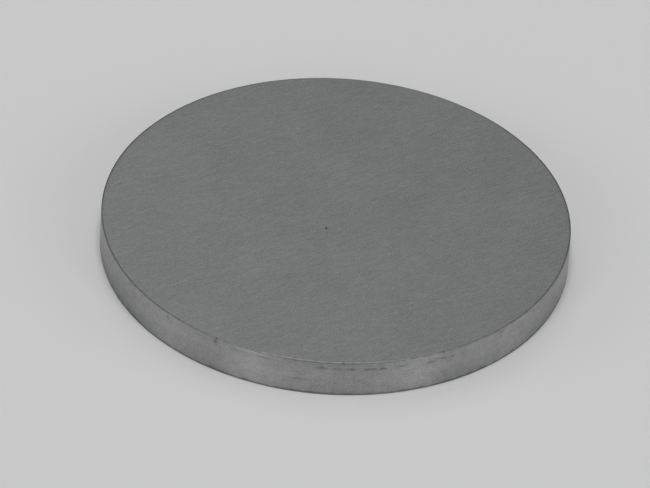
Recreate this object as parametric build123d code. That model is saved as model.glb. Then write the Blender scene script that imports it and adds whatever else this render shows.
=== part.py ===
from build123d import *
import os

# A flat round sputtering target: one solid disc of sintered chromium titanium alloy.
# Both faces are ground flat and the edge is turned. The front rim is rounded over and the back rim is bevelled.
# The origin is the centre of the back face, the one that lies on the cooled plate.
# +Z runs up through the disc and out of the front face, the one that is sputtered away.

# Driving dimensions, in millimetres
diameter = 76.2         # across the turned edge, a 3 inch stock size
thickness = 6.5         # from back face to front face
front_radius = 0.3      # of the round between front face and edge
back_bevel = 0.15       # leg of the bevel between back face and edge

os.makedirs("parts", exist_ok=True)


def half_section():
    """The disc's section on one side of its axis, with both rims broken as the real one's are."""
    with BuildSketch(Plane.XZ) as section:
        Rectangle(diameter / 2, thickness, align=(Align.MIN, Align.MIN))
        back_corner = section.vertices().group_by(Axis.X)[-1].sort_by(Axis.Y)[0]
        chamfer(back_corner, back_bevel)
        front_corner = section.vertices().group_by(Axis.X)[-1].sort_by(Axis.Y)[-1]
        fillet(front_corner, front_radius)
    return section.sketch


def target_disc():
    """One turn of the section: back face, back bevel, edge, front round and front face."""
    return revolve(half_section(), Axis.Z)


disc = target_disc()
export_step(disc, "parts/target_disc.step")

print(f"target_disc: {diameter} mm across, {thickness} mm thick")
print(f"volume {disc.volume / 1000:.2f} cubic centimetres")
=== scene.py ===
import bpy
import math
import random
from mathutils import Matrix, Vector, noise


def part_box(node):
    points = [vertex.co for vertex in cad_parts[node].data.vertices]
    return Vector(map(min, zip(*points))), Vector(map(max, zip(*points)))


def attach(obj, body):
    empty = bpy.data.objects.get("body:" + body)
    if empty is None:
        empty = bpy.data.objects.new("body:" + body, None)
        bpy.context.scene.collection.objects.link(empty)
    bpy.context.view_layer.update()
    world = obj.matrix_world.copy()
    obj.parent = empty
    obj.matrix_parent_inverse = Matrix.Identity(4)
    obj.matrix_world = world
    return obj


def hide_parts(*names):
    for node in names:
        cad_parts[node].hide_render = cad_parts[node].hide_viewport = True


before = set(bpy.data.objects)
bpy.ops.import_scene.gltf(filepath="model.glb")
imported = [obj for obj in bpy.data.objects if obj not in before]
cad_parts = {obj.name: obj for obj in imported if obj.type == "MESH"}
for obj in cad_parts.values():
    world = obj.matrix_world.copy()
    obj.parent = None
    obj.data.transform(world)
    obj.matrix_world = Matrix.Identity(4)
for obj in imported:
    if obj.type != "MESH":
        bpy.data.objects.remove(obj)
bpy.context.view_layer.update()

mm = 0.001
scene = bpy.context.scene

# the disc's own sizes come from the frame, in metres
discLow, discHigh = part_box("target_disc")
radius = (discHigh.x - discLow.x) / 2
thickness = discHigh.z - discLow.z
print("frame: disc", round(radius * 2 / mm, 2), "mm across and", round(thickness / mm, 2), "mm thick")


def linearColour(hexCode):
    channels = [int(hexCode[i:i + 2], 16) / 255 for i in (0, 2, 4)]
    linear = [c / 12.92 if c <= 0.04045 else ((c + 0.055) / 1.055) ** 2.4 for c in channels]
    return (*linear, 1.0)


def addNode(tree, kind, settings=None, inputs=None, stops=()):
    node = tree.nodes.new("ShaderNode" + kind)
    for name, value in (settings or {}).items():
        setattr(node, name, value)
    for key, value in (inputs or {}).items():
        if isinstance(value, bpy.types.NodeSocket):
            tree.links.new(value, node.inputs[key])
        else:
            node.inputs[key].default_value = value
    for i, (position, light) in enumerate(stops):     # greys of a ramp
        stop = node.color_ramp.elements[i] if i < 2 else node.color_ramp.elements.new(position)
        stop.position = position
        stop.color = (light, light, light, 1)
    return node


def newMaterial(name):
    material = bpy.data.materials.new(name)
    material.use_nodes = True
    material.node_tree.nodes.clear()
    return material, material.node_tree


groundFace = {
    "darkHex": "828584",            # the alloy in the valleys of the grind
    "paleHex": "b3b6b5",            # and on its ridges, where the wheel burnished it
    "glintHex": "c0c2c1",           # painted highlight on the few deep strokes
    "poreHex": "23221f",            # the shade inside a pore
    "roughness": 0.46,
    "roughnessSpread": 0.05,        # valleys are this much rougher, ridges this much smoother
    "lay": 31,                      # degrees from X, the way the strokes run
    "passes": [(-7, 3.0), (1, 11.0), (8, 27.0)],      # degrees off the lay, mm the pattern is moved
    "strokeLength": 1.9,            # mm, between two ends of a stroke
    "strokeWidth": 0.2,             # mm, a 120 grit stroke is 0.1 mm and is drawn wider to show
    "strokeRange": (1.15, 1.85),    # the three passes added up, in a valley and on a ridge
    "strokeRelief": 0.003,          # mm, height of the strokes
    "grainSize": 0.19,              # mm, the sintered powder is 0.1 mm and is drawn coarser to show
    "grainRange": (0.27, 0.73),     # what counts as a dark grain and as a pale one
    "grainShare": 0.7,              # how much of the fine tone is grain, the rest is strokes
    "blotchSize": 9.0,              # mm, where the wheel bore harder
    "blotchShare": 0.25,            # how much of the whole tone is blotches
    "glintRange": (0.68, 0.8),      # how deep one pass is where it starts to glint, and where it glints most
    "glintMost": 0.5,
}


def makeGroundAlloy(name, look):
    # chromium titanium, surface ground: a flat grey with fine straight strokes one way and no mirror in it
    material, tree = newMaterial(name)
    place = addNode(tree, "TexCoord").outputs["Object"]
    inMm = addNode(tree, "VectorMath", {"operation": "SCALE"}, {0: place, "Scale": 1 / mm}).outputs[0]

    # the passes of the wheel cross at a few degrees
    strokes = []
    for turn, moved in look["passes"]:
        laid = addNode(tree, "Mapping", None, {
            "Vector": inMm,
            "Location": (moved, moved, moved),
            "Rotation": (0, 0, -math.radians(look["lay"] + turn)),
        }).outputs[0]
        stretched = addNode(tree, "Mapping", None, {
            "Vector": laid,
            "Scale": (1 / look["strokeLength"], 1 / look["strokeWidth"], 1 / look["strokeWidth"]),
        }).outputs[0]
        strokes.append(addNode(tree, "TexNoise", None, {
            "Vector": stretched, "Scale": 1.0, "Detail": 2.0, "Roughness": 0.55,
        }).outputs[0])
    twoPasses = addNode(tree, "Math", {"operation": "ADD"}, {0: strokes[0], 1: strokes[1]}).outputs[0]
    allPasses = addNode(tree, "Math", {"operation": "ADD"}, {0: twoPasses, 1: strokes[2]}).outputs[0]
    strokeTone = addNode(tree, "MapRange", None, {
        "Value": allPasses, "From Min": look["strokeRange"][0], "From Max": look["strokeRange"][1],
    }).outputs[0]

    grain = addNode(tree, "TexNoise", None, {
        "Vector": inMm, "Scale": 1 / look["grainSize"], "Detail": 1.0, "Roughness": 0.5,
    }).outputs[0]
    grainTone = addNode(tree, "MapRange", None, {
        "Value": grain, "From Min": look["grainRange"][0], "From Max": look["grainRange"][1],
    }).outputs[0]
    blotch = addNode(tree, "TexNoise", None, {
        "Vector": inMm, "Scale": 1 / look["blotchSize"], "Detail": 3.0, "Roughness": 0.5,
    }).outputs[0]
    fineTone = addNode(tree, "Mix", {"data_type": "FLOAT"}, {
        0: look["grainShare"], 2: strokeTone, 3: grainTone,
    }).outputs[0]
    tone = addNode(tree, "Mix", {"data_type": "FLOAT"}, {
        0: look["blotchShare"], 2: fineTone, 3: blotch,
    }).outputs[0]
    ground = addNode(tree, "Mix", {"data_type": "RGBA"}, {
        0: tone, 6: linearColour(look["darkHex"]), 7: linearColour(look["paleHex"]),
    }).outputs[2]

    # painted highlight: the deep strokes are the peaks of one pass
    glint = addNode(tree, "MapRange", None, {
        "Value": strokes[1], "From Min": look["glintRange"][0], "From Max": look["glintRange"][1],
        "To Max": look["glintMost"],
    }).outputs[0]
    glinted = addNode(tree, "Mix", {"data_type": "RGBA"}, {
        0: glint, 6: ground, 7: linearColour(look["glintHex"]),
    }).outputs[2]
    # the pore's shade, and the rim's painted shade where it reaches onto the face
    flawAndShade = addNode(tree, "Attribute", {"attribute_name": "flawAndShade"}).outputs["Fac"]
    colour = addNode(tree, "Mix", {"data_type": "RGBA"}, {
        0: flawAndShade, 6: glinted, 7: linearColour(look["poreHex"]),
    }).outputs[2]

    roughness = addNode(tree, "MapRange", None, {
        "Value": tone,
        "To Min": look["roughness"] + look["roughnessSpread"],
        "To Max": look["roughness"] - look["roughnessSpread"],
    }).outputs[0]
    bump = addNode(tree, "Bump", None, {
        "Height": allPasses, "Strength": 1.0, "Distance": look["strokeRelief"] * mm,
    }).outputs[0]
    shader = addNode(tree, "BsdfPrincipled", None, {
        "Base Color": colour, "Metallic": 1.0, "Roughness": roughness, "Normal": bump,
    }).outputs[0]
    addNode(tree, "OutputMaterial", None, {"Surface": shader})
    return material


turnedEdge = {
    "darkHex": "989998",            # the alloy in the hollows of the turned lines
    "paleHex": "bdbebd",            # and on their crests
    "dirtAndShadeHex": "625d55",         # brown grinding dirt left in the pores, and painted shade under the front rim
    "paintedShadeHex": "6f7473",             # painted shade: the edge darker towards the bottom and in a few pools
    # mm up from the back face, how much painted shade: most along the bottom, thinning upwards, and a little
    # near the front rim
    "shadeRise": [(0.0, 0.8), (0.3, 0.7), (0.5, 0.14), (2.0, 0.04), (3.6, 0.0), (4.8, 0.04), (6.5, 0.1)],
    "shadeLineWander": 0.8,              # mm that the painted shade's upper line wanders up and down
    # degrees round, degrees to either side, how much more painted shade
    "shadePools": [(-157, 28, 0.42), (-121, 10, 0.16), (-54, 14, 0.2), (-20, 24, 0.26)],
    "shadePoolFoot": 1.0,                # mm up, from where a pool of painted shade thins towards the front rim
    "roughness": 0.38,
    "roughnessSpread": 0.04,        # hollows are this much rougher, crests this much smoother
    "brushed": 0.85,                # how far the lines pull a reflection up and down
    "feed": 0.2,                    # mm between the tool's lines, a fine finishing cut
    "lineLength": 9.0,              # mm that a line keeps its depth
    "lineRelief": 0.0015,           # mm
    "mottleSize": 1.3,              # mm, where the tool tore a little or cut clean
    "mottleShare": 0.6,             # against the lines
    "grainSize": 0.2,               # mm, as coarse as on the face
    "grainShare": 0.55,             # against the lines and the mottle
    "toneRange": (0.32, 0.68),      # what counts as dark and as pale
}


def makeTurnedAlloy(name, look):
    # chromium titanium, turned: fine lines round the edge pull each reflection up and down
    material, tree = newMaterial(name)
    place = addNode(tree, "TexCoord").outputs["Object"]
    inMm = addNode(tree, "VectorMath", {"operation": "SCALE"}, {0: place, "Scale": 1 / mm}).outputs[0]

    laid = addNode(tree, "Mapping", None, {
        "Vector": inMm, "Scale": (1 / look["lineLength"], 1 / look["lineLength"], 1 / look["feed"]),
    }).outputs[0]
    lines = addNode(tree, "TexNoise", None, {
        "Vector": laid, "Scale": 1.0, "Detail": 2.0, "Roughness": 0.6,
    }).outputs[0]
    mottle = addNode(tree, "TexNoise", None, {
        "Vector": inMm, "Scale": 1 / look["mottleSize"], "Detail": 2.0, "Roughness": 0.5,
    }).outputs[0]
    grain = addNode(tree, "TexNoise", None, {
        "Vector": inMm, "Scale": 1 / look["grainSize"], "Detail": 1.0, "Roughness": 0.5,
    }).outputs[0]
    worn = addNode(tree, "Mix", {"data_type": "FLOAT"}, {
        0: look["mottleShare"], 2: lines, 3: mottle,
    }).outputs[0]
    blended = addNode(tree, "Mix", {"data_type": "FLOAT"}, {
        0: look["grainShare"], 2: worn, 3: grain,
    }).outputs[0]
    tone = addNode(tree, "MapRange", None, {
        "Value": blended, "From Min": look["toneRange"][0], "From Max": look["toneRange"][1],
    }).outputs[0]
    bare = addNode(tree, "Mix", {"data_type": "RGBA"}, {
        0: tone, 6: linearColour(look["darkHex"]), 7: linearColour(look["paleHex"]),
    }).outputs[2]

    # painted shade thins upwards from the bottom, with an uneven upper line
    rise = addNode(tree, "SeparateXYZ", None, {0: inMm}).outputs["Z"]
    shadeHeight = addNode(tree, "Math", {"operation": "MULTIPLY_ADD"}, {
        0: mottle, 1: look["shadeLineWander"], 2: rise,
    }).outputs[0]
    top = look["shadeRise"][-1][0]
    share = addNode(tree, "Math", {"operation": "MULTIPLY_ADD"}, {
        0: shadeHeight, 1: 1 / top, 2: -look["shadeLineWander"] / 2 / top,
    }).outputs[0]
    shadeStops = [(height / top, much) for height, much in look["shadeRise"]]
    shadeAmount = addNode(tree, "ValToRGB", None, {0: share}, shadeStops).outputs[0]
    fall = addNode(tree, "MapRange", None, {
        "Value": shadeHeight, "From Min": look["shadePoolFoot"], "From Max": top, "To Min": 1.0, "To Max": 0.0,
    }).outputs[0]
    # pools of painted shade round the edge
    for angle, width, much in look["shadePools"]:
        a = math.radians(angle)
        facing = addNode(tree, "VectorMath", {"operation": "DOT_PRODUCT"}, {
            0: place, 1: (math.cos(a) / radius, math.sin(a) / radius, 0),
        }).outputs["Value"]
        shadePool = addNode(tree, "MapRange", {"interpolation_type": "SMOOTHSTEP"}, {
            "Value": facing, "From Min": math.cos(math.radians(width)), "To Max": much,
        }).outputs[0]
        shadeAmount = addNode(tree, "Math", {"operation": "MULTIPLY_ADD", "use_clamp": True}, {
            0: shadePool, 1: fall, 2: shadeAmount,
        }).outputs[0]
    turned = addNode(tree, "Mix", {"data_type": "RGBA"}, {
        0: shadeAmount, 6: bare, 7: linearColour(look["paintedShadeHex"]),
    }).outputs[2]
    # pores and dirt, and painted shade under the front rim
    flawAndShade = addNode(tree, "Attribute", {"attribute_name": "flawAndShade"}).outputs["Fac"]
    colour = addNode(tree, "Mix", {"data_type": "RGBA"}, {
        0: flawAndShade, 6: turned, 7: linearColour(look["dirtAndShadeHex"]),
    }).outputs[2]

    roughness = addNode(tree, "MapRange", None, {
        "Value": tone,
        "To Min": look["roughness"] + look["roughnessSpread"],
        "To Max": look["roughness"] - look["roughnessSpread"],
    }).outputs[0]
    bump = addNode(tree, "Bump", None, {
        "Height": lines, "Strength": 1.0, "Distance": look["lineRelief"] * mm,
    }).outputs[0]
    upright = addNode(tree, "CombineXYZ", None, {2: 1.0}).outputs[0]
    shader = addNode(tree, "BsdfPrincipled", None, {
        "Base Color": colour, "Metallic": 1.0, "Roughness": roughness, "Normal": bump,
        "Anisotropic": look["brushed"], "Tangent": upright,
    }).outputs[0]
    addNode(tree, "OutputMaterial", None, {"Surface": shader})
    return material


brokenRim = {
    "darkHex": "848584",
    "paleHex": "999a99",
    "dirtAndShadeHex": "474948",         # painted shade along the rim, and the dark of its nicks and pores
    "roughness": 0.58,
    "scuffSize": 0.8,               # mm, one touch of the stone
    "scuffRange": (0.35, 0.65),     # what counts as a dark scuff and as a pale one
    "scuffRelief": 0.004,           # mm
}


def makeStonedAlloy(name, look):
    # chromium titanium, a sharp rim rounded with a hand stone: darker and uneven, so it reads as a thin line
    material, tree = newMaterial(name)
    place = addNode(tree, "TexCoord").outputs["Object"]
    inMm = addNode(tree, "VectorMath", {"operation": "SCALE"}, {0: place, "Scale": 1 / mm}).outputs[0]
    scuff = addNode(tree, "TexNoise", None, {
        "Vector": inMm, "Scale": 1 / look["scuffSize"], "Detail": 3.0, "Roughness": 0.6,
    }).outputs[0]
    tone = addNode(tree, "MapRange", None, {
        "Value": scuff, "From Min": look["scuffRange"][0], "From Max": look["scuffRange"][1],
    }).outputs[0]
    stoned = addNode(tree, "Mix", {"data_type": "RGBA"}, {
        0: tone, 6: linearColour(look["darkHex"]), 7: linearColour(look["paleHex"]),
    }).outputs[2]
    # nicks and pores, and painted shade along the rim
    flawAndShade = addNode(tree, "Attribute", {"attribute_name": "flawAndShade"}).outputs["Fac"]
    colour = addNode(tree, "Mix", {"data_type": "RGBA"}, {
        0: flawAndShade, 6: stoned, 7: linearColour(look["dirtAndShadeHex"]),
    }).outputs[2]
    bump = addNode(tree, "Bump", None, {
        "Height": scuff, "Strength": 1.0, "Distance": look["scuffRelief"] * mm,
    }).outputs[0]
    shader = addNode(tree, "BsdfPrincipled", None, {
        "Base Color": colour, "Metallic": 1.0, "Roughness": look["roughness"], "Normal": bump,
    }).outputs[0]
    addNode(tree, "OutputMaterial", None, {"Surface": shader})
    return material


# the back was ground in another setting, with longer strokes
backFace = dict(groundFace, darkHex="7e807e", paleHex="afb1af", lay=74, strokeLength=3.0)

discMaterials = [
    makeGroundAlloy("ground chromium titanium, front", groundFace),
    makeTurnedAlloy("turned chromium titanium, edge", turnedEdge),
    makeStonedAlloy("stoned chromium titanium, rims", brokenRim),
    makeGroundAlloy("ground chromium titanium, back", backFace),
]
front, edge, rim, back = range(4)     # their places in the list
print("materials:", len(discMaterials))


discLook = {
    "columns": 1536,                # points round the rim, halved ring by ring towards the middle
    # rings of the front face: points, mm from the middle
    "faceRings": [
        (24, 0.4), (24, 0.7), (48, 1.2), (48, 1.9), (96, 3.0), (96, 4.6), (192, 6.6), (192, 9.0), (384, 12.0),
        (384, 15.5), (384, 19), (384, 22.5), (384, 26), (384, 29.5), (384, 33), (384, 35.5), (384, 36.6),
        (768, 37.15), (1536, 37.4),
    ],
    "backSkips": 5,                 # the plain back face does without this many of the innermost rings
    "flatMargin": 0.06 * mm,        # from the last ring of the face to its round
    "frontRound": 0.3 * mm,         # radius of the front rim
    "leastRound": 0.7,              # share of it that is there all round
    "frontExtra": 0.6,              # and how much more at -90 degrees, where it was stoned most
    "frontWidth": 38,               # degrees to either side
    "roundWander": 0.15,            # share that it wanders by
    "wanderScale": 4,               # waves round the disc, roughly
    "stonedHeight": 0.7,            # share of the round, below it the turned lines still show
    "frontBow": 2.0,                # 1 is a bevel, 2 a quarter round
    "backBevel": 0.15 * mm,         # leg of the bevel on the back rim
    "backBow": 1.8,                 # worn nearly round
    "rimSteps": 8,
    "rimSideShade": 0.14,               # painted shade in the front rim, the dark reflection at its sides; none at the front
    "farRimShadeAt": [(34, 0.8), (145, 1.05)],     # painted shade on the far rim: degrees round, how much more
    "farRimShadeWidth": 28,                # degrees to either side
    "rimShadeOnFace": 0.2,             # share of the rim's painted shade that reaches onto the face
    "fineDepth": 1.8 * mm,          # below the front face, as far as the pores lie
    "finePitch": 0.085 * mm,        # between the rows down to there
    "coarsePitch": 0.33 * mm,       # and between the rows below
    "facePore": {                   # the one pore in the face, dragged long by the wheel
        "x": -1.49 * mm,
        "y": -3.12 * mm,
        "radius": 0.22 * mm,
        "narrow": 0.7,              # share of its length that it measures across
        "depth": 0.2 * mm,
        "corners": 24,
        "profile": [(0.35, 0.85), (0.7, 0.5), (0.92, 0.18), (1.02, 0.04)],      # shares of radius and depth
        "lip": 1.2,                 # share of the radius where the flat face starts
        "paler": 0.15,              # how much shade each ring loses on the way out
    },
    "poreDepth": 0.04 * mm,         # of the darkest pore in the edge
    "poreEnd": 6,                   # half sizes squared, where a pore has faded out
    "poreSpread": 1.3,              # heights up and down from its middle that a pore can reach
    "poreRagged": 0.9,              # how far its outline is eaten
    "bitesAlong": 2.2,              # bites a mm
    "bitesDown": 4,
    "onRound": 0.8,                 # mm, a pore nearer the face than this also marks the round
    "rowSlack": 0.15,               # mm that a row may lie off its own depth
    # pores and other dark marks in the edge, some partly painted shade: degrees round from X, mm below the
    # front face, mm long, mm high, how dark
    "edgeMarks": [
        (-148, 0.80, 0.6, 0.35, 0.5),
        (-132.5, 0.80, 0.5, 0.50, 0.6),
        (-123, 0.80, 1.4, 0.25, 0.5),
        (-118, 0.70, 0.7, 0.80, 0.6),
        (-112, 1.00, 1.8, 0.30, 0.35),
        (-105, 0.90, 3.2, 0.30, 0.4),
        (-91.2, 1.15, 1.6, 0.55, 0.62),
        (-87.8, 1.20, 2.0, 0.40, 0.5),
        (-84, 1.25, 1.4, 0.42, 0.68),
        (-79.6, 1.30, 1.9, 0.42, 0.68),
        (-76.4, 1.30, 1.2, 0.38, 0.68),
        (-71.5, 1.20, 2.2, 0.25, 0.6),
        (-64.5, 1.50, 1.8, 0.60, 0.5),
        (-61.5, 1.20, 1.6, 0.40, 0.45),
        (-58.6, 1.45, 0.4, 0.45, 0.9),
        (-44, 0.60, 1.8, 0.30, 0.5),
        (-44, 1.40, 0.4, 0.40, 0.5),
        (-31.3, 1.15, 0.4, 0.40, 0.7),
        (-29.4, 1.25, 0.4, 0.35, 0.7),
        (-26, 0.75, 0.5, 0.30, 0.4),
        # dirt and painted shade right under the front rim
        (-98, 0.35, 3.0, 0.50, 0.16),
        (-93, 0.35, 6.0, 0.50, 0.16),
        (-85, 0.35, 6.0, 0.50, 0.14),
        (-78, 0.35, 4.0, 0.45, 0.1),
        (-88, 0.90, 14.0, 1.40, 0.12),
        # faint smears lower down
        (-96.5, 3.80, 3.8, 0.45, 0.3),
        (-80.5, 3.90, 3.0, 0.45, 0.2),
        (-60.5, 4.50, 0.6, 0.90, 0.25),
    ],
    "nickDepth": 0.05 * mm,         # into the front round, at mid height
    "nickAtFace": 0.15,             # of the round's height, the bite there also marks the face's rim
    "nickSag": 0.6,                 # share of its depth that the metal also sinks
    "nickDark": 0.45,
    # nicks in the front round: degrees round, mm long
    "rimNicks": [(-86, 0.45), (-61, 0.6), (-34.4, 0.5), (-18.4, 0.5), (-118, 0.6)],
}

# the side away from the photograph carries the same row of pores, and a few nicks
hidden = random.Random(7)
for step in range(22):
    angle = 4 + step * 8 + hidden.uniform(-3, 3)
    discLook["edgeMarks"].append((angle, hidden.uniform(0.8, 1.3), hidden.uniform(0.4, 1.8),
                                  hidden.uniform(0.22, 0.5), hidden.uniform(0.35, 0.9)))
for step in range(5):
    discLook["rimNicks"].append((20 + step * 34 + hidden.uniform(-12, 12), hidden.uniform(0.4, 0.7)))


def edgeRows():
    # depths below the front face of the rows on the straight part of the edge
    foot = thickness - discLook["backBevel"]
    rows = []
    for start, end, pitch in ((discLook["frontRound"], discLook["fineDepth"], discLook["finePitch"]),
                              (discLook["fineDepth"], foot, discLook["coarsePitch"])):
        steps = round((end - start) / pitch)
        rows += [start + (end - start) * i / steps for i in range(1, steps + 1)]
    return rows[:-1]


def rimRows(bow):
    # shares of the rim's size, inward from the edge and down from the face
    steps = discLook["rimSteps"]
    turns = [math.pi / 2 * i / steps for i in range(steps + 1)]
    return [(1 - math.sin(turn) ** (2 / bow), 1 - math.cos(turn) ** (2 / bow)) for turn in turns]


def frontness(angle):
    # 1 at the front of the disc, at -90 degrees, falling to nothing past its sides
    return math.exp(-((math.degrees(angle) + 90) / discLook["frontWidth"]) ** 2)


def frontLeg(angle):
    # the rim was stoned by hand, so its size wanders, and it is widest at the front
    wander = noise.noise(Vector((math.cos(angle), math.sin(angle), 0)) * discLook["wanderScale"])
    return discLook["frontRound"] * (discLook["leastRound"] + discLook["frontExtra"] * frontness(angle)
                                     + discLook["roundWander"] * wander)


def clearOfRound(depth, angle):
    # the fine rows close up or spread with the round above them, so none of them crosses it
    spare = (discLook["fineDepth"] - depth) / (discLook["fineDepth"] - discLook["frontRound"])
    return depth + (frontLeg(angle) - discLook["frontRound"]) * max(0, spare)


def rimShadeAt(angle):
    # how much painted shade the front rim has at one angle
    farShade = sum(much * math.exp(-((math.degrees(angle) - middle) / discLook["farRimShadeWidth"]) ** 2)
               for middle, much in discLook["farRimShadeAt"])
    return min(1, discLook["rimSideShade"] * (1 - frontness(angle)) ** 2 + farShade)


def nickAt(angle):
    # how deep the nicks reach at one angle, from 0 to 1
    deepest = 0.0
    for nickAngle, nickLength in discLook["rimNicks"]:
        away = abs((math.radians(nickAngle) - angle + math.pi) % (2 * math.pi) - math.pi)
        deepest = max(deepest, 1 - (away * radius / (nickLength * mm / 2)) ** 2)
    return deepest


def flawAndShadeAt(angle, depth, nearby):
    # how deep a flaw or painted shade reaches at one point of the edge, from 0 to 1
    deepest = 0.0
    for poreAngle, poreDepth, poreLength, poreHeight, dark in nearby:
        across = math.radians(poreAngle) - angle
        across = (across + math.pi) % (2 * math.pi) - math.pi
        u = across * radius / mm / (poreLength / 2)
        v = (depth / mm - poreDepth) / (poreHeight / 2)
        reach = u * u + v * v
        if reach > discLook["poreEnd"]:
            continue
        eaten = noise.noise(Vector((angle * radius / mm * discLook["bitesAlong"],
                                    depth / mm * discLook["bitesDown"], poreAngle)))
        reach *= 1 + discLook["poreRagged"] * eaten
        deepest = max(deepest, dark * math.exp(-abs(reach)))
    return deepest


def buildDisc():
    columns = discLook["columns"]
    angles = [2 * math.pi * i / columns - math.pi for i in range(columns)]
    points, flawAndShadeValues, faces, slots = [], [], [], []

    def addRing(count, place):
        # place gives (x, y, z, flaw or painted shade) for an angle; returns the ring's point numbers
        start = len(points)
        for i in range(count):
            x, y, z, flawAndShade = place(angles[i * (columns // count)])
            points.append((x, y, z))
            flawAndShadeValues.append(flawAndShade)
        return list(range(start, start + count))

    def stitch(upper, lower, slot):
        # faces between two rings; the lower one has as many points, or half or twice as many
        n, m = len(upper), len(lower)
        if n == m:
            for i in range(n):
                faces.append((upper[i], lower[i], lower[(i + 1) % n], upper[(i + 1) % n]))
                slots.append(slot)
        elif n == 2 * m:
            for i in range(m):
                a, b, c = upper[2 * i], upper[2 * i + 1], upper[(2 * i + 2) % n]
                d, e = lower[i], lower[(i + 1) % m]
                faces.extend([(a, d, b), (b, d, e), (b, e, c)])
                slots.extend([slot] * 3)
        else:
            for i in range(n):
                a, b = upper[i], upper[(i + 1) % n]
                d, e, f = lower[2 * i], lower[2 * i + 1], lower[(2 * i + 2) % m]
                faces.extend([(a, d, e), (a, e, b), (b, e, f)])
                slots.extend([slot] * 3)

    pit = discLook["facePore"]
    lipRadius = pit["radius"] * pit["lip"]

    def faceRing(count, ringRadius, drop, flawAndShade, legInset=0.0):
        # rings of the front face drift from the disc's centre to the pore, which is longer than it is wide
        drift = (1 - ringRadius / radius) ** 2
        narrow = pit["narrow"] if ringRadius <= lipRadius else 1.0

        def place(angle):
            r = ringRadius - frontLeg(angle) * legInset
            return (pit["x"] * drift + r * narrow * math.cos(angle),
                    pit["y"] * drift + r * math.sin(angle), discHigh.z - drop,
                    flawAndShade + rimShadeAt(angle) * discLook["rimShadeOnFace"] * legInset)
        return addRing(count, place)

    # front face, from the pore's floor out to the round
    points.append((pit["x"], pit["y"], discHigh.z - pit["depth"]))
    flawAndShadeValues.append(1.0)
    corners = pit["corners"]
    rings = [faceRing(corners, pit["radius"] * r, pit["depth"] * d, 1.0 - pit["paler"] * i)
             for i, (r, d) in enumerate(pit["profile"])]
    rings.append(faceRing(corners, lipRadius, 0.0, 0.0))
    for i in range(corners):
        faces.append((0, rings[0][i], rings[0][(i + 1) % corners]))
        slots.append(front)
    for count, ringRadius in discLook["faceRings"]:
        rings.append(faceRing(count, ringRadius * mm, 0.0, 0.0))
    rings.append(faceRing(columns, radius - discLook["flatMargin"], 0.0, 0.0, 1.0))
    for inner, outer in zip(rings, rings[1:]):
        stitch(inner, outer, front)

    # front rim, edge and back rim, all with the full count
    last = rings[-1]
    roundMarks = [pore for pore in discLook["edgeMarks"] if pore[1] < discLook["onRound"]]
    for inset, drop in rimRows(discLook["frontBow"]):
        def place(angle):
            leg = frontLeg(angle)
            nick = nickAt(angle)
            height = min(1, max(discLook["nickAtFace"], drop))
            bite = nick * discLook["nickDepth"] * math.sin(math.pi * height)
            r = radius - leg * inset - bite
            z = discHigh.z - leg * drop - bite * discLook["nickSag"]
            # a nick, painted shade along the rim, or a pore
            flawAndShade = max(nick * discLook["nickDark"], rimShadeAt(angle), flawAndShadeAt(angle, leg * drop, roundMarks))
            return (r * math.cos(angle), r * math.sin(angle), z, flawAndShade)
        ring = addRing(columns, place)
        stitch(last, ring, front if inset == 1.0 else rim if drop < discLook["stonedHeight"] else edge)
        last = ring

    for depth in edgeRows():
        nearby = [pore for pore in discLook["edgeMarks"]
                  if abs(pore[1] - depth / mm) < pore[3] * discLook["poreSpread"] + discLook["rowSlack"]]

        def place(angle):
            down = clearOfRound(depth, angle)
            flawAndShade = flawAndShadeAt(angle, down, nearby)
            r = radius - discLook["poreDepth"] * flawAndShade
            return (r * math.cos(angle), r * math.sin(angle), discHigh.z - down, flawAndShade)
        ring = addRing(columns, place)
        stitch(last, ring, edge)
        last = ring

    for inset, drop in reversed(rimRows(discLook["backBow"])):
        def place(angle):
            leg = discLook["backBevel"]
            r = radius - leg * inset
            return (r * math.cos(angle), r * math.sin(angle), discLow.z + leg * drop, 0.0)
        ring = addRing(columns, place)
        stitch(last, ring, edge if inset == 0 else rim)
        last = ring

    # back face
    for count, ringRadius in reversed(discLook["faceRings"][discLook["backSkips"]:]):
        def place(angle):
            return (ringRadius * mm * math.cos(angle), ringRadius * mm * math.sin(angle), discLow.z, 0.0)
        ring = addRing(count, place)
        stitch(last, ring, back)
        last = ring
    points.append((0, 0, discLow.z))
    flawAndShadeValues.append(0.0)
    for i in range(len(last)):
        faces.append((last[i], len(points) - 1, last[(i + 1) % len(last)]))
        slots.append(back)

    mesh = bpy.data.meshes.new("turned_disc")
    mesh.from_pydata(points, [], faces)
    for material in discMaterials:
        mesh.materials.append(material)
    mesh.polygons.foreach_set("material_index", slots)
    mesh.polygons.foreach_set("use_smooth", [True] * len(faces))
    mesh.attributes.new("flawAndShade", "FLOAT", "POINT").data.foreach_set("value", flawAndShadeValues)
    mesh.validate()
    mesh.update()
    piece = bpy.data.objects.new("turned_disc", mesh)
    scene.collection.objects.link(piece)
    print("disc:", len(points), "points,", sum(len(f) - 2 for f in faces), "triangles")
    return piece


disc = buildDisc()
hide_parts("target_disc")
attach(disc, "root")


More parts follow.
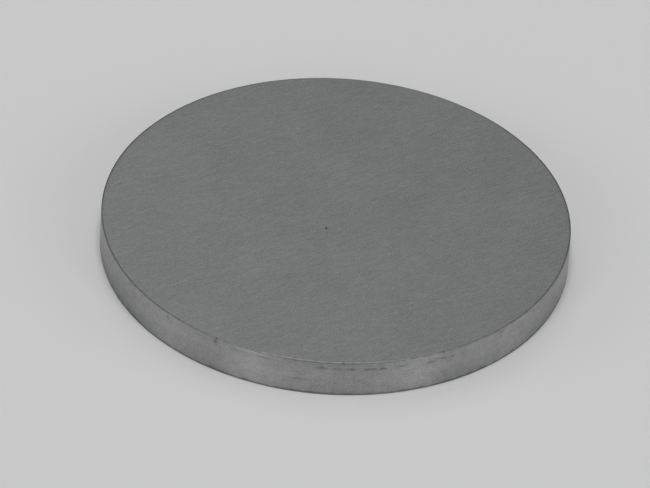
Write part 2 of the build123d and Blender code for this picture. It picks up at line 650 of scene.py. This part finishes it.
studio = {
    "floorHex": "ececec",
    "floorSize": 6.0,               # m
    "fibreScale": 900.0,            # a metre, as the board's fibres are about 1 mm long
    "fibreRelief": 0.02,            # mm
    # sine of the height over the horizon, how light
    "skyStops": [(0.0, 0.14), (0.4, 0.175), (0.62, 0.2), (0.85, 0.26), (1.0, 0.27)],
    # degrees round, degrees up, m away, m wide, m tall, watts
    "lamps": [
        (-123, 20, 1.6, 0.2, 1.0, 2.4),     # two strips, the pale bands on the edge
        (-49, 20, 1.6, 0.2, 1.0, 2.4),
        (-170, 20, 1.6, 1.0, 0.8, 2.6),     # the edge's far left and right
        (-8, 20, 1.6, 1.0, 0.8, 2.6),
        (112, 58, 0.5, 0.2, 0.2, 0.1),      # the face's slow change from left to right
        (90, 38, 1.6, 0.6, 0.5, 0.41),      # the face as a whole
        (90, 64, 1.6, 0.4, 0.3, 0.4),
        (-90, 82, 3.0, 1.0, 1.2, 27.2),     # the floor
    ],
}


def buildFloor():
    half = studio["floorSize"] / 2
    corners = [(-half, -half, 0), (half, -half, 0), (half, half, 0), (-half, half, 0)]
    mesh = bpy.data.meshes.new("floor")
    mesh.from_pydata(corners, [], [(0, 1, 2, 3)])
    floor = bpy.data.objects.new("floor", mesh)
    floor.location.z = discLow.z
    material, tree = newMaterial("pale matt board")
    place = addNode(tree, "TexCoord").outputs["Object"]
    fibre = addNode(tree, "TexNoise", None, {
        "Vector": place, "Scale": studio["fibreScale"], "Detail": 2.0,
    }).outputs[0]
    bump = addNode(tree, "Bump", None, {
        "Height": fibre, "Strength": 0.1, "Distance": studio["fibreRelief"] * mm,
    }).outputs[0]
    shader = addNode(tree, "BsdfPrincipled", None, {
        "Base Color": linearColour(studio["floorHex"]), "Roughness": 0.9, "Specular IOR Level": 0.1,
        "Normal": bump,
    }).outputs[0]
    addNode(tree, "OutputMaterial", None, {"Surface": shader})
    mesh.materials.append(material)
    scene.collection.objects.link(floor)


def buildLight():
    world = bpy.data.worlds.new("soft studio")
    scene.world = world
    world.use_nodes = True
    tree = world.node_tree
    tree.nodes.clear()
    direction = addNode(tree, "TexCoord").outputs["Generated"]
    height = addNode(tree, "SeparateXYZ", None, {0: direction}).outputs["Z"]
    sky = addNode(tree, "ValToRGB", None, {0: height}, studio["skyStops"]).outputs[0]
    glow = addNode(tree, "Background", None, {"Color": sky, "Strength": 1.0}).outputs[0]
    addNode(tree, "OutputWorld", None, {"Surface": glow})

    for i, (azimuth, elevation, distance, width, tall, watts) in enumerate(studio["lamps"]):
        light = bpy.data.lights.new("soft box %d" % (i + 1), "AREA")
        light.shape = "RECTANGLE"
        light.size = width
        light.size_y = tall
        light.energy = watts
        lamp = bpy.data.objects.new(light.name, light)
        a, e = math.radians(azimuth), math.radians(elevation)
        lamp.location = Vector((math.cos(a) * math.cos(e), math.sin(a) * math.cos(e), math.sin(e))) * distance
        lamp.rotation_euler = (-lamp.location).to_track_quat("-Z", "Y").to_euler()
        scene.collection.objects.link(lamp)


# the camera that took the photograph, fitted to both rims of the disc
shot = {
    "elevation": 37.48,             # degrees above the floor
    "roll": 3.76,                   # degrees
    "distance": 34.03,              # radii of the disc
    "offset": (0.0482, 0.1144),     # radii, the face's centre right of and above the middle of the frame
    "lens": 443.1,                  # mm, on a 36 mm sensor
    "sensor": 36,
    "near": 0.05,                   # m
    "far": 20,
}


def buildCamera():
    e, roll = math.radians(shot["elevation"]), math.radians(shot["roll"])
    forward = Vector((0, math.cos(e), -math.sin(e)))
    level = Vector((1, 0, 0))
    upright = level.cross(forward)
    right = level * math.cos(roll) + upright * math.sin(roll)
    up = upright * math.cos(roll) - level * math.sin(roll)
    camera = bpy.data.cameras.new("camera")
    camera.lens = shot["lens"]
    camera.sensor_width = shot["sensor"]
    camera.clip_start = shot["near"]
    camera.clip_end = shot["far"]
    body = bpy.data.objects.new("camera", camera)
    faceCentre = Vector((0, 0, discHigh.z))
    offsetX, offsetY = (share * radius for share in shot["offset"])
    spot = faceCentre - right * offsetX - up * offsetY - forward * (shot["distance"] * radius)
    body.matrix_world = Matrix.Translation(spot) @ Matrix((right, up, -forward)).transposed().to_4x4()
    scene.collection.objects.link(body)
    scene.camera = body


buildFloor()
buildLight()
buildCamera()
scene.view_settings.view_transform = "Standard"
print("studio: floor, light and camera")

bpy.context.view_layer.update()
